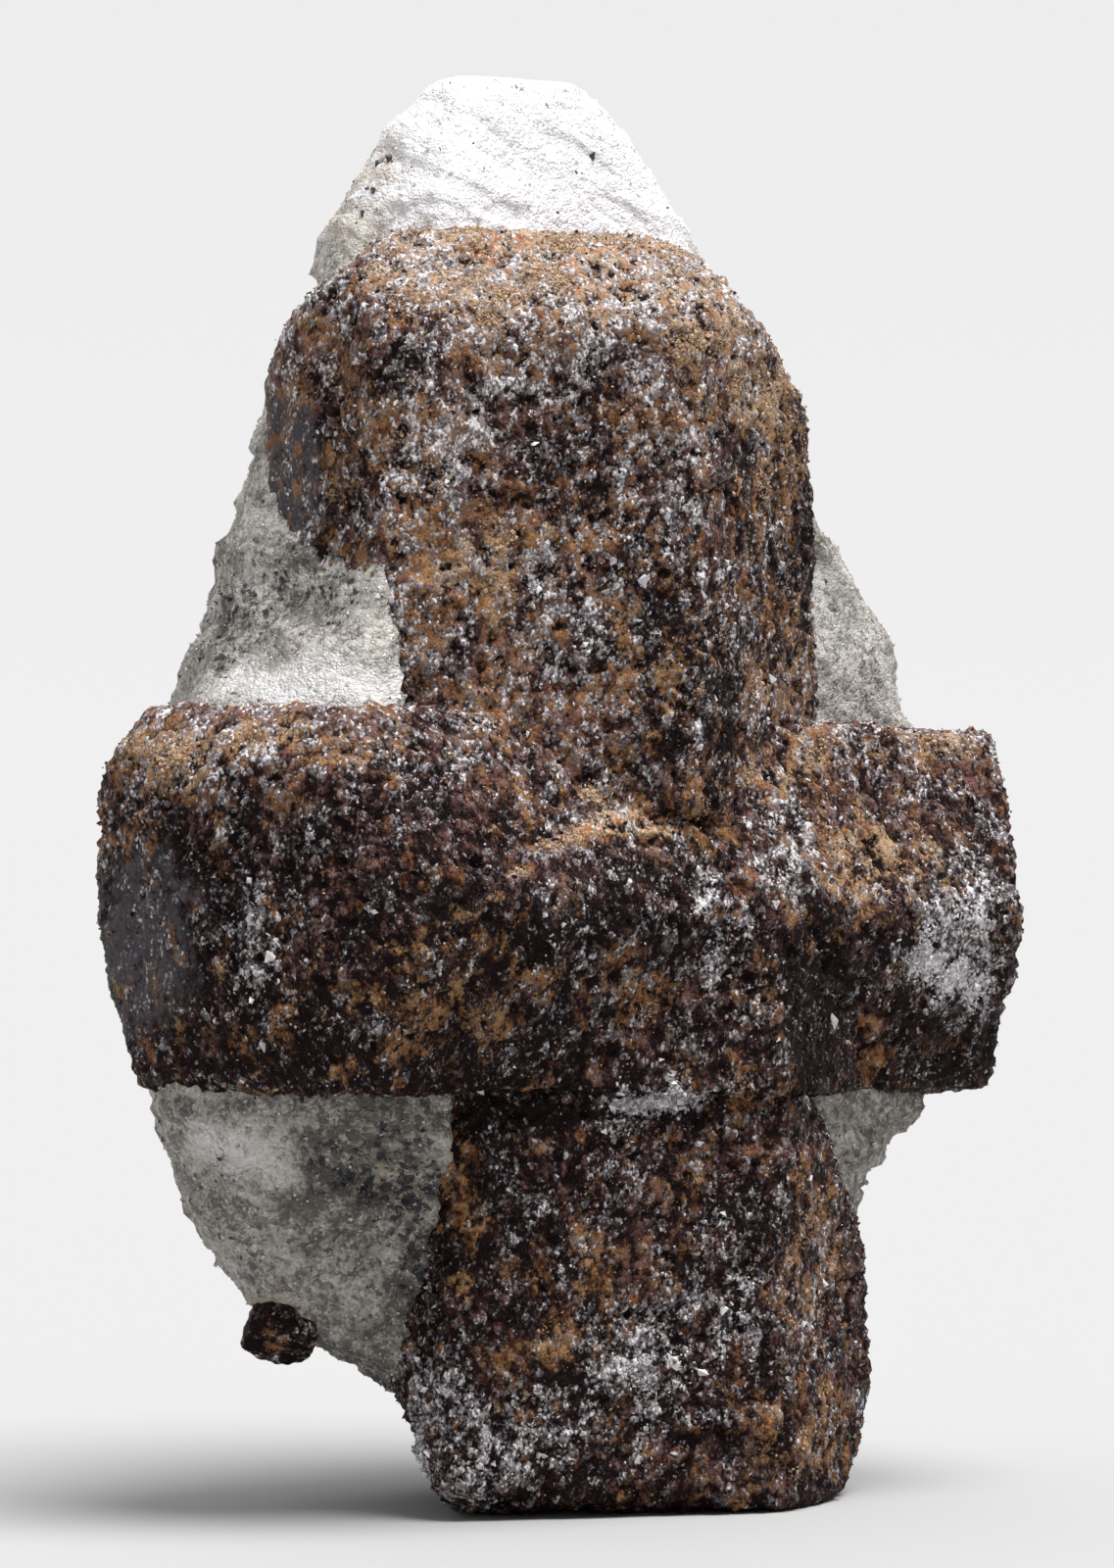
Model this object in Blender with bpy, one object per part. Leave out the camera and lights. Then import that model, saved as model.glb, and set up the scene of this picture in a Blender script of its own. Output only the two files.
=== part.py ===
"""A staurolite cross: two brown staurolite crystals grown through each other near a right angle,
still held in a lozenge of pale mica schist, with a small second crystal at the lower left.

The cross stands on the broken end of its long crystal. Its front faces -Y, the long crystal runs
along Z and the short one along X. Every crystal is the space inside a set of flat faces, and a
face is written as (turn, tilt, distance): its normal turned from the front towards +X and tilted
up, in degrees, and its distance in millimetres from the heart of the cross.
"""

import math
import random

import bmesh
import bpy
from mathutils import Euler, Matrix, Vector, noise

MM = 0.001

# The heart of the cross, where the two crystals pass through each other
HEART = Vector((0.405, -0.06, 14.0)) * MM

# Staurolite's own angles: its prism faces slope 25.33 degrees either side of the front ridge,
# and the crystals of this twin cross 91.4 degrees apart
SLOPE = 25.33
TWIN_LEAN = 1.4

# The pebble's narrow sides face 132 degrees to the left and 48 degrees to the right of the front
LEFT = -132
RIGHT = 48

# Wear and breaks
EDGE_WEAR = 0.30 * MM
FIT_GAP = 0.3 * MM
OPEN_FRONT = 6.0 * MM
ROUGH_BLOCK = 80 * MM
FRONT_FACING = 0.85
EDGE_ON = 1e-6
PIT_COUNT = 40
CRUMB_COUNT = 34
CHIP_COUNT = 26
GRAIN_RAGGEDNESS = 0.22
CHIPPED_EDGE = 1.5 * MM
ON_OUTSIDE = 0.995
FOOT_CLEAR = 1.6 * MM
ROCK_DETAIL = 5
ROCK_LUMP = 0.022
ROCK_EDGE_SHARPNESS = 34.0

UPPER_PRISM = (
    (-SLOPE, 0, 5.31),
    (SLOPE, 0, 4.37),
    (-90, 0, 7.75),
    (90, 0, 5.55),
    (SLOPE - 180, 0, 5.15),
    (180 - SLOPE, 0, 4.20),
    (0, 90, 15.0),
    (0, -60, 1.05),
    (-SLOPE, 50, 13.2),
    (SLOPE, 48, 12.6),
    (LEFT, 26, 11.5),
    (LEFT, 49, 14.0),
    (RIGHT, 27, 9.8),
    (RIGHT, 41, 11.75),
    (RIGHT, 56, 13.7),
    (180, 50, 13.6),
)

LOWER_PRISM = (
    (-SLOPE, 0, 4.71),
    (SLOPE, 0, 5.65),
    (-90, 0, 5.9),
    (90, 0, 6.5),
    (SLOPE - 180, 0, 4.25),
    (180 - SLOPE, 0, 5.10),
    (0, 90, 2.6),
    (90, 53, 0.6),
    (0, -90, 14.0),
    (LEFT, -24, 8.4),
    (RIGHT, -25, 11.4),
    (-40, -70, 14.4),
)

# The left end of the short crystal is worn round, so it takes many faces
CROSS_LEFT_END = (
    (-22, 0, 7.9),
    (-45, 0, 9.9),
    (-64, 0, 10.9),
    (-80, 0, 11.5),
    (-97, 0, 11.8),
    (LEFT, 0, 10.75),
    (LEFT, 31, 10.3),
    (-78, 38, 10.5),
    (-45, 32, 9.6),
    (-78, -26, 11.5),
    (LEFT, -18, 10.6),
)
CROSS_PRISM = CROSS_LEFT_END + (
    (0, SLOPE, 4.75),
    (0, -SLOPE, 5.09),
    (90, 90, 3.9),
    (90, -90, 4.6),
    (180, SLOPE, 4.3),
    (180, -SLOPE, 4.5),
    (68, 0, 10.8),
    (92, 0, 10.9),
    (122, 0, 9.9),
    (RIGHT, 0, 10.45),
    (80, -42, 11.2),
    (80, 48, 11.0),
)

# A later layer on the front of the crossing. Its upper edge is the rusty seam, which runs up from
# the left arm, over the crossing and down the right side of the long crystal
SEAM_EDGE = (
    (-90, 64, 3.25),
    (-90, 78, 2.30),
    (90, 53, 0.60),
    (90, -90, 4.55),
    (180, 0, 2.0),
)
SEAM_SET_BACK = 0.06
SEAM_ON_CROSS = SEAM_EDGE + (
    (0, SLOPE, 5.05),
    (0, -SLOPE, 5.40),
    (90, 0, 1.2),
) + tuple((turn, tilt, reach - SEAM_SET_BACK) for turn, tilt, reach in CROSS_LEFT_END)
SEAM_ON_LOWER = SEAM_EDGE + (
    (-SLOPE, 0, 5.06),
    (SLOPE, 0, 5.85),
    (-90, 0, 6.1),
)

# The schist is one lozenge with rounded edges: its top and left side, its right side, its hollow
# front and its back
ROCK = (
    (0, 90, 18.9),
    (LEFT, 63, 18.5),
    (LEFT, 31, 13.25),
    (LEFT, 19, 10.75),
    (LEFT, 0, 10.3),
    (LEFT, -18, 10.9),
    (LEFT, -32, 11.7),
    (LEFT, -61, 12.1),
    (RIGHT, 47, 14.5),
    (RIGHT, 29, 9.6),
    (RIGHT, -34, 10.4),
    (-10, 45, 12.7),
    (0, 17, 4.5),
    (10, 10, 3.4),
    (0, -10, 4.2),
    (-70, 30, 10.9),
    (-70, 0, 10.5),
    (-67, -30, 11.1),
    (90, 0, 10.9),
    (0, -90, 13.1),
    (180, 0, 6.2),
    (180, 35, 13.2),
    (180, -32, 11.4),
    (RIGHT + 90, 0, 9.6),
    (LEFT - 90, 0, 9.6),
)

# Hollows in the schist as (turn, tilt, width in degrees, depth as a share of the radius). The last
# bares the back ridge of the long crystal
ROCK_HOLLOWS = (
    (-95, 36, 15, 0.08),
    (80, -36, 15, 0.09),
    (-173, 42, 16, 0.23),
)

SIDE_CRYSTAL = (
    (0, 0, 0.75),
    (180, 0, 0.75),
    (0, 60, 0.8),
    (180, 60, 0.8),
    (0, -60, 0.8),
    (180, -60, 0.8),
    (90, 0, 1.7),
    (-90, 0, 1.7),
)
SIDE_CRYSTAL_PLACE = Vector((-7.1, 1.8, -8.75)) * MM
SIDE_CRYSTAL_TURN = (math.radians(15), math.radians(-50), math.radians(40))


def outward(turn, tilt):
    """The unit normal that is turned from the front towards +X and then tilted up."""
    turn, tilt = math.radians(turn), math.radians(tilt)
    return Vector(
        (math.sin(turn) * math.cos(tilt), -math.cos(turn) * math.cos(tilt), math.sin(tilt))
    )


def leaning(faces, degrees):
    """The same faces, with the whole crystal leaned about the front axis, its +X end down."""
    lean = Matrix.Rotation(math.radians(degrees), 3, "Y")
    for turn, tilt, distance in faces:
        yield lean @ outward(turn, tilt), distance * MM


def upright(faces):
    for turn, tilt, distance in faces:
        yield outward(turn, tilt), distance * MM


def add_object(name, bm, material=None):
    mesh = bpy.data.meshes.new(name)
    bmesh.ops.recalc_face_normals(bm, faces=bm.faces)
    bm.to_mesh(mesh)
    bm.free()
    made = bpy.data.objects.new(name, mesh)
    bpy.context.scene.collection.objects.link(made)
    if material:
        mesh.materials.append(material)
    return made


def crystal(faces, grow=0.0, open_front=0.0):
    """The space inside all the faces, each moved out by grow, as a bmesh about the heart.

    Faces that look to the front move out by open_front as well.
    """
    bm = bmesh.new()
    bmesh.ops.create_cube(bm, size=ROUGH_BLOCK)
    for normal, distance in faces:
        front = open_front if -normal.y > FRONT_FACING else 0.0
        cut = bmesh.ops.bisect_plane(
            bm,
            geom=bm.verts[:] + bm.edges[:] + bm.faces[:],
            plane_co=normal * (distance + grow + front),
            plane_no=normal,
            clear_outer=True,
        )
        rim = [e for e in cut["geom_cut"] if isinstance(e, bmesh.types.BMEdge)]
        if rim:
            bmesh.ops.contextual_create(bm, geom=rim)
    bmesh.ops.dissolve_degenerate(bm, dist=1e-6, edges=bm.edges)
    return bm


def as_helper(obj):
    obj.hide_render = True
    obj.display_type = "WIRE"
    return obj


def settled(obj):
    """Writes the object's modifiers into its mesh."""
    graph = bpy.context.evaluated_depsgraph_get()
    mesh = bpy.data.meshes.new_from_object(obj.evaluated_get(graph))
    obj.modifiers.clear()
    obj.data = mesh
    return obj


def combine(target, other, operation):
    """Joins other to target, or cuts it away, and removes other."""
    boolean = target.modifiers.new(operation.lower(), "BOOLEAN")
    boolean.operation = operation
    boolean.solver = "EXACT"
    boolean.object = other
    settled(target)
    bpy.data.objects.remove(other)
    return target


def worn_block(name, faces):
    """One crystal with its edges rounded by wear."""
    block = add_object(name, crystal(faces))
    bevel = block.modifiers.new("wear", "BEVEL")
    bevel.width = EDGE_WEAR
    bevel.segments = 2
    bevel.limit_method = "ANGLE"
    bevel.angle_limit = math.radians(12)
    return settled(block)


def twin_blocks():
    return (
        list(upright(UPPER_PRISM)),
        list(upright(LOWER_PRISM)),
        list(leaning(CROSS_PRISM, TWIN_LEAN)),
        list(leaning(SEAM_ON_CROSS, TWIN_LEAN)),
        list(leaning(SEAM_ON_LOWER, TWIN_LEAN)),
    )


def block_radius(direction, faces):
    """How far the block reaches from the heart along a unit direction."""
    leans = ((normal.dot(direction), distance) for normal, distance in faces)
    return min(distance / lean for lean, distance in leans if lean > EDGE_ON)


def twin_radius(direction):
    return max(block_radius(direction, faces) for faces in twin_blocks())


def add_grain(bm, place, size, squash, rng):
    """A low ball, squashed and turned at random, its corners moved in or out like a broken grain."""
    grain = bmesh.ops.create_icosphere(bm, subdivisions=1, radius=size)["verts"]
    for vert in grain:
        vert.co *= 1 + rng.uniform(-GRAIN_RAGGEDNESS, GRAIN_RAGGEDNESS)
    turned = Matrix.Rotation(rng.uniform(0, math.tau), 4, random_direction(rng))
    shape = Matrix.Diagonal((1.0, rng.uniform(squash, 1.0), rng.uniform(squash, 1.0), 1.0))
    bmesh.ops.transform(bm, matrix=Matrix.Translation(place) @ turned @ shape, verts=grain)


def stands_clear(place, size, others):
    """Whether a grain keeps clear of the ones already placed and of the foot the cross stands on."""
    reach = 1 + GRAIN_RAGGEDNESS
    if place.z < FOOT_CLEAR - HEART.z:
        return False
    return all((place - other).length > reach * (size + other_size) for other, other_size in others)


def random_direction(rng):
    z = rng.uniform(-1, 1)
    turn = rng.uniform(-math.pi, math.pi)
    flat = math.sqrt(1 - z * z)
    return Vector((flat * math.cos(turn), flat * math.sin(turn), z))


def surface_grains(name, count, rng, sizes, sunk, squash):
    """Many small angular grains on the twin's surface, each sunk by a share of its size."""
    bm = bmesh.new()
    placed = []
    while len(placed) < count:
        direction = random_direction(rng)
        size = rng.uniform(*sizes) * MM
        place = direction * (twin_radius(direction) - size * sunk)
        if stands_clear(place, size, placed):
            add_grain(bm, place, size, squash, rng)
            placed.append((place, size))
    return as_helper(add_object(name, bm))


def outer_edges():
    """The edges of the crystals that lie on the outside of the twin, as pairs of ends."""
    found = []
    for faces in twin_blocks():
        block = crystal(faces)
        for edge in block.edges:
            middle = (edge.verts[0].co + edge.verts[1].co) / 2
            outside = middle.length > ON_OUTSIDE * twin_radius(middle.normalized())
            if outside and edge.calc_length() > CHIPPED_EDGE:
                found.append((edge.verts[0].co.copy(), edge.verts[1].co.copy()))
        block.free()
    return found


def edge_chips(name, count, rng, sizes, raised, squash):
    """Grains that straddle the outer edges and take small breaks out of them."""
    bm = bmesh.new()
    edges = outer_edges()
    placed = []
    while len(placed) < count:
        start, end = rng.choice(edges)
        size = rng.uniform(*sizes) * MM
        place = start.lerp(end, rng.uniform(0.15, 0.85))
        place += place.normalized() * (size * raised)
        if stands_clear(place, size, placed):
            add_grain(bm, place, size, squash, rng)
            placed.append((place, size))
    return as_helper(add_object(name, bm))


def connected(start):
    """Every vertex that edges join to start, itself included."""
    found = {start}
    waiting = [start]
    while waiting:
        for edge in waiting.pop().link_edges:
            for vert in edge.verts:
                if vert not in found:
                    found.add(vert)
                    waiting.append(vert)
    return found


def drop_loose_crumbs(obj):
    """Keeps only the largest body, since a chip can cut a crumb free."""
    bm = bmesh.new()
    bm.from_mesh(obj.data)
    bodies = []
    unseen = set(bm.verts)
    while unseen:
        bodies.append(connected(min(unseen, key=lambda vert: vert.index)))
        unseen -= bodies[-1]
    bodies.sort(key=len)
    for body in bodies[:-1]:
        bmesh.ops.delete(bm, geom=list(body), context="VERTS")
    bm.to_mesh(obj.data)
    bm.free()


def build_twin(material):
    """The cross: its blocks joined in one solid, with crumbs on it and pits and chips out of it."""
    rng = random.Random(31)
    names = ("upper_prism", "lower_prism", "cross_prism", "seam_on_cross", "seam_on_lower")
    blocks = [worn_block(name, faces) for name, faces in zip(names, twin_blocks())]
    twin = blocks[0]
    for block in blocks[1:]:
        combine(twin, block, "UNION")
    combine(twin, surface_grains("crumbs", CRUMB_COUNT, rng, (0.4, 0.75), 0.55, 0.6), "UNION")
    combine(twin, surface_grains("pits", PIT_COUNT, rng, (0.5, 1.1), -0.5, 0.6), "DIFFERENCE")
    combine(twin, edge_chips("chips", CHIP_COUNT, rng, (0.45, 0.95), 0.5, 0.5), "DIFFERENCE")
    drop_loose_crumbs(twin)
    twin.name = twin.data.name = "staurolite_twin"
    twin.data.materials.clear()
    twin.data.materials.append(material)
    return twin


def rock_radius(direction):
    """How far the schist reaches from the heart along a unit direction.

    The faces blend by a power sum, which rounds every edge between them. Hollows take a bell-shaped
    share away, and slow noise adds lumps.
    """
    total = 0.0
    for turn, tilt, distance in ROCK:
        lean = outward(turn, tilt).dot(direction) / (distance * MM)
        if lean > 0:
            total += lean**ROCK_EDGE_SHARPNESS
    radius = total ** (-1 / ROCK_EDGE_SHARPNESS)
    for turn, tilt, width, depth in ROCK_HOLLOWS:
        away = math.degrees(outward(turn, tilt).angle(direction))
        radius *= 1 - depth * math.exp(-((away / width) ** 2))
    place = direction * radius / MM
    lumps = noise.noise(place * 0.42) + 0.55 * noise.noise(place * 1.1 + Vector((7, 3, 5)))
    return radius * (1 + ROCK_LUMP * lumps)


def cut_pocket(rock, faces, place, open_front=0.0):
    pocket = add_object("pocket", crystal(faces, FIT_GAP, open_front))
    pocket.data.transform(place)
    combine(rock, as_helper(pocket), "DIFFERENCE")


def build_rock(material):
    """The schist, with pockets that follow the crystals at the fit gap and are open in front."""
    bm = bmesh.new()
    bmesh.ops.create_icosphere(bm, subdivisions=ROCK_DETAIL, radius=1.0)
    for vert in bm.verts:
        direction = vert.co.normalized()
        vert.co = direction * rock_radius(direction)
    rock = add_object("mica_schist_matrix", bm, material)
    for faces in twin_blocks():
        cut_pocket(rock, faces, Matrix.Identity(4), OPEN_FRONT)
    cut_pocket(rock, list(upright(SIDE_CRYSTAL)), side_place())
    return rock


def side_place():
    return Matrix.Translation(SIDE_CRYSTAL_PLACE) @ Euler(SIDE_CRYSTAL_TURN).to_matrix().to_4x4()


def build_side_crystal(material):
    """The small second crystal: a six-sided prism lying in the schist, one end out at the edge."""
    side = worn_block("small_side_crystal", list(upright(SIDE_CRYSTAL)))
    side.data.transform(side_place())
    side.data.materials.append(material)
    return side


def make_material(name, colour, roughness):
    material = bpy.data.materials.new(name)
    material.use_nodes = True
    shader = material.node_tree.nodes["Principled BSDF"]
    shader.inputs["Base Color"].default_value = (*colour, 1.0)
    shader.inputs["Roughness"].default_value = roughness
    shader.inputs["Metallic"].default_value = 0.0
    return material


def main():
    for obj in list(bpy.data.objects):
        bpy.data.objects.remove(obj)
    brown = make_material("staurolite", (0.075, 0.045, 0.035), 0.55)
    dark_brown = make_material("small_staurolite", (0.06, 0.035, 0.03), 0.5)
    pale = make_material("mica_schist", (0.50, 0.49, 0.46), 0.7)
    twin = build_twin(brown)
    rock = build_rock(pale)
    side = build_side_crystal(dark_brown)
    for obj in (twin, rock, side):
        obj.location = HEART


main()
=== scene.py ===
import math

import bpy
import numpy as np
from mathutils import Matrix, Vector


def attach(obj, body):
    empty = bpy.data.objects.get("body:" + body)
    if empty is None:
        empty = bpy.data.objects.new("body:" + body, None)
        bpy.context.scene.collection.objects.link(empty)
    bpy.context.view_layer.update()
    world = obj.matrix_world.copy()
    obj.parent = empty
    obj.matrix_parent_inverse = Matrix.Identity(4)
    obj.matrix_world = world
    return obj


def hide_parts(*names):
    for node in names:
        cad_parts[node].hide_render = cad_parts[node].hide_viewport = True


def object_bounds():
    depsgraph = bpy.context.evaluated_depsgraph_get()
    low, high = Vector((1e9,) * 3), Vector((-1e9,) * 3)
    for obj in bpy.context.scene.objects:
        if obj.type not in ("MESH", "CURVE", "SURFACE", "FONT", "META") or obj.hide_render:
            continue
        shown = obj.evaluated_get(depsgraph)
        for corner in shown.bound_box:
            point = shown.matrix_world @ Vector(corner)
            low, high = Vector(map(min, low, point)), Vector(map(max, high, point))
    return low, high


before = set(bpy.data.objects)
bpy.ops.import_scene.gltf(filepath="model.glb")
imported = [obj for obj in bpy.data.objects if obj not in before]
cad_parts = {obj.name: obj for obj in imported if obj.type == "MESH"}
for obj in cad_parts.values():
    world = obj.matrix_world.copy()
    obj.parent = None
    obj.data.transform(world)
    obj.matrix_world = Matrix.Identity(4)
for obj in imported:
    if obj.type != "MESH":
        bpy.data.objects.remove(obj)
cad_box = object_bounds()

# The long crystal, upper end
# Brown staurolite, a six-sided prism that grew up behind the crossing. Its worn top slopes back
# under the schist, and rust has stained that slope tan.

MM = 0.001
# The cross's heart, where the crystals' middle lines meet, in mm from the frame's origin
HEART = np.array((0.405, -0.06, 14.0))
# How far a prism's front faces are turned from the front, in degrees
SLOPE = 25.33
# The photo looks from this many degrees left of the front, so its right and left are these turns
VIEW_DEGREES = 42
VIEW_TURN = math.radians(VIEW_DEGREES)
RIGHT = 90 - VIEW_DEGREES
LEFT = RIGHT - 180
# The power that rounds a crystal's edges, the gap in mm that every piece keeps to the sides of the
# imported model's box, and how the noise's grid is turned, in degrees
EDGE_SHARPNESS = 34
BOX_MARGIN = 0.02
NOISE_TURN = (31, 47, 62)

# A crystal is the space inside flat faces, each (turn, tilt, distance): its normal turned from the
# front towards +X and tilted up, in degrees, and its distance in mm from the heart
UPPER_FACES = (
    (-SLOPE, 0, 5.31),
    (SLOPE, 0, 4.37),
    (-90, 0, 7.75),
    (90, 0, 5.55),
    (SLOPE - 180, 0, 5.15),
    (180 - SLOPE, 0, 4.20),
    (0, 90, 15.0),
    (0, -60, 1.05),
    (-SLOPE, 50, 13.2),
    (SLOPE, 48, 12.6),
    (LEFT, 26, 11.5),
    (LEFT, 49, 14.0),
    (RIGHT, 27, 9.8),
    (RIGHT, 41, 11.75),
    (RIGHT, 56, 13.7),
    (180, 50, 13.6),
)


def plane_set(faces, lean=0.0):
    """Unit normals and distances of the faces, all leaned about the front axis by lean degrees."""
    turn, tilt, reach = np.array(faces, float).T
    turn, tilt = np.radians(turn), np.radians(tilt)
    normals = np.stack(
        (np.sin(turn) * np.cos(tilt), -np.cos(turn) * np.cos(tilt), np.sin(tilt)), axis=1
    )
    c, s = math.cos(math.radians(lean)), math.sin(math.radians(lean))
    return normals @ np.array(((c, 0, s), (0, 1, 0), (-s, 0, c))).T, reach


def meet_planes(starts, rays, planes, sharpness=EDGE_SHARPNESS):
    """Where rays leave a crystal, and the surface's direction there.

    A ray meets each face after (distance - normal . start) / (normal . ray). A power sum of the
    inverse lengths picks the shortest and rounds the edges, and shares the normals out alike.
    """
    normals, reach = planes
    lean = np.maximum(rays @ normals.T, 0)
    inverse = lean / np.maximum(reach - starts @ normals.T, 0.001)
    peak = inverse.max(axis=1, keepdims=True)
    shares = (inverse / peak) ** sharpness
    length = 1 / (peak[:, 0] * shares.sum(axis=1) ** (1 / sharpness))
    facing = shares @ normals
    facing /= np.linalg.norm(facing, axis=1, keepdims=True)
    return starts + rays * length[:, None], facing


def spine_rays(spine, axis, turns, rows):
    """Rays that fill a piece from a straight spine inside it, row by row and round each row.

    Side rows start along the spine and point straight out. Cap rows start at its two ends, and tilt
    from straight out to along the axis, where one pole at each end closes the grid.
    """
    low_cap, side, high_cap = rows
    start, end = np.array(spine, float)
    low = np.linspace(-math.pi / 2, 0, low_cap, endpoint=False)[1:]
    high = np.linspace(math.pi / 2, 0, high_cap, endpoint=False)[:0:-1]
    tilt = np.concatenate((low, np.zeros(side), high, (-math.pi / 2, math.pi / 2)))
    along = np.concatenate((low * 0, np.linspace(0, 1, side), high * 0 + 1, (0, 1)))
    tilt, turn = np.meshgrid(tilt, turns, indexing="ij")
    along = np.broadcast_to(along[:, None], turn.shape)
    rays = np.zeros(turn.shape + (3,))
    rays[..., (axis + 1) % 3] = np.cos(turn) * np.cos(tilt)
    rays[..., (axis + 2) % 3] = np.sin(turn) * np.cos(tilt)
    rays[..., axis] = np.sin(tilt)
    starts = start + (end - start) * along[..., None]
    body = len(rays) - 2
    starts = np.concatenate((starts[:body].reshape(-1, 3), starts[body:, 0]))
    rays = np.concatenate((rays[:body].reshape(-1, 3), rays[body:, 0]))
    return starts, rays, body


def even_turns(planes, spine, axis, count):
    """Angles round the spine that share the outline evenly.

    The outline at the spine's middle is measured along 2880 rays, and the angles are read off at
    equal lengths along it.
    """
    fine = np.linspace(-math.pi, math.pi, 2881)
    rays = np.zeros((len(fine), 3))
    rays[:, (axis + 1) % 3] = np.cos(fine)
    rays[:, (axis + 2) % 3] = np.sin(fine)
    outline, _ = meet_planes(np.mean(np.array(spine, float), axis=0) + rays * 0, rays, planes)
    lengths = np.concatenate(([0], np.cumsum(np.linalg.norm(np.diff(outline, axis=0), axis=1))))
    return np.interp(np.linspace(0, lengths[-1], count, endpoint=False), lengths, fine)


def wrapped_faces(rows, columns):
    """Quads between neighbouring rows, the last column joined to the first, and a fan to each pole."""
    i, j = np.meshgrid(np.arange(rows - 1), np.arange(columns), indexing="ij")
    k = (j + 1) % columns
    corners = (i * columns + j, i * columns + k, (i + 1) * columns + k, (i + 1) * columns + j)
    quads = np.stack(corners, axis=-1).reshape(-1, 4)
    ring = np.arange(columns)
    after = (ring + 1) % columns
    top = (rows - 1) * columns
    south = np.stack((np.full(columns, rows * columns), after, ring), axis=-1)
    north = np.stack((np.full(columns, rows * columns + 1), top + ring, top + after), axis=-1)
    return quads, np.concatenate((south, north))


def hashed(cells, seed):
    """A number from 0 to 1 for each whole-number cell: its coordinates times large odd numbers are
    mixed with the seed, and the low bits of a second product are kept."""
    x, y, z = np.moveaxis(cells.astype(np.int64), -1, 0)
    mixed = (x * 73856093) ^ (y * 19349663) ^ (z * 83492791) ^ (seed * 2654435761)
    mixed = (mixed ^ (mixed >> 13)) * 1274126177
    return ((mixed ^ (mixed >> 16)) & 0xFFFFFF) / 0xFFFFFF


def turned(points, degrees):
    """Points turned about X, then Y, then Z."""
    for axis, angle in enumerate(np.radians(degrees)):
        matrix = np.eye(3)
        i, j = (axis + 1) % 3, (axis + 2) % 3
        matrix[i, i] = matrix[j, j] = math.cos(angle)
        matrix[i, j], matrix[j, i] = -math.sin(angle), math.sin(angle)
        points = points @ matrix.T
    return points


def lumps(points, size, seed):
    """Smooth noise from -1 to 1, size mm across: random numbers at the corners of a grid of cubes,
    blended inside each cube with the S-curve 3t^2 - 2t^3. The grid is turned, or its rows would show
    on flat faces."""
    scaled = turned(points, NOISE_TURN) / size
    base = np.floor(scaled)
    part = scaled - base
    part = part * part * (3 - 2 * part)
    total = np.zeros(len(points))
    for corner in np.ndindex(2, 2, 2):
        share = np.prod(np.where(corner, part, 1 - part), axis=1)
        total += share * hashed(base + corner, seed)
    return total * 2 - 1


def grains(points, size, seed):
    """Packed grains size mm across, one random centre to each cube of a grid. Returns the distance to
    the nearest centre as a share of size, and a random number that belongs to that grain."""
    scaled = points / size
    base = np.floor(scaled)
    nearest = np.full(len(points), np.inf)
    tag = np.zeros(len(points))
    for step in np.ndindex(3, 3, 3):
        cell = base + np.array(step) - 1
        centre = cell + np.stack([hashed(cell, seed + i) for i in range(3)], axis=1)
        away = np.linalg.norm(scaled - centre, axis=1)
        tag = np.where(away < nearest, hashed(cell, seed + 7), tag)
        nearest = np.minimum(away, nearest)
    return nearest, tag


def s_curve(values, low, high):
    """0 below low and 1 above high, and 3t^2 - 2t^3 of the share of the way between."""
    part = np.clip((values - low) / (high - low), 0, 1)
    return part * part * (3 - 2 * part)


def patches(points, facing, spots, wander=0.45):
    """Soft-edged patches on the side that the photo shows, each (across, up, half width, half height,
    strength) in mm from the heart: a bell curve round each centre, its edge pushed about by noise."""
    right = np.array((math.cos(VIEW_TURN), -math.sin(VIEW_TURN), 0))
    front = np.array((-math.sin(VIEW_TURN), -math.cos(VIEW_TURN), 0))
    across = points @ right + wander * lumps(points, 0.7, 51) + 0.4 * wander * lumps(points, 0.25, 52)
    up = points[:, 2] + wander * lumps(points, 0.7, 53) + 0.4 * wander * lumps(points, 0.25, 54)
    total = np.zeros(len(points))
    for centre, height, width, tall, strength in spots:
        far = ((across - centre) / width) ** 2 + ((up - height) / tall) ** 2
        total += strength * np.exp(-far * far)
    return total * s_curve(facing @ front, -0.15, 0.15)


# Places on the cross that are rusty, pale with glassy grains, or dark, as patches reads them. The
# dark places are partly dark stone and partly painted shade, most of all beside the long crystal's
# edges where the short arm meets it
RUSTY_SPOTS = (
    (1.1, 2.1, 0.9, 0.9, 0.40),
    (-0.4, 14.3, 4.6, 1.5, 1.0),
    (3.6, 12.0, 1.4, 1.6, 0.5),
    (-1.5, 7.0, 1.6, 1.4, 0.55),
    (-3.5, 10.0, 1.0, 1.2, 0.55),
    (1.4, 5.6, 1.2, 1.5, 0.4),
    (4.6, 10.0, 1.0, 2.0, 0.45),
    (4.6, 5.6, 1.2, 1.8, 0.3),
    (0.7, 1.9, 1.1, 0.5, 1.0),
    (2.6, 1.6, 1.0, 0.6, 0.6),
    (-8.4, 3.0, 2.6, 0.8, 0.50),
    (-5.0, 3.4, 2.0, 0.5, 0.35),
    (-6.0, -2.3, 1.2, 0.7, 0.45),
    (-1.8, -1.6, 1.4, 0.8, 0.5),
    (-3.4, -3.4, 1.6, 0.8, 0.35),
    (1.2, -2.6, 1.4, 1.0, 0.4),
    (4.6, 3.0, 1.2, 0.6, 0.7),
    (8.2, 3.3, 2.2, 0.5, 0.55),
    (7.2, 0.6, 1.4, 1.4, 0.75),
    (5.2, 0.6, 1.2, 1.6, 0.4),
    (-2.4, -7.0, 0.8, 1.4, 0.4),
    (0.2, -8.8, 1.6, 1.2, 0.40),
    (-0.6, -10.4, 1.0, 1.4, 0.5),
    (4.6, -12.2, 1.4, 1.4, 0.5),
    (5.2, -8.0, 1.0, 2.0, 0.35),
)
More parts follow.
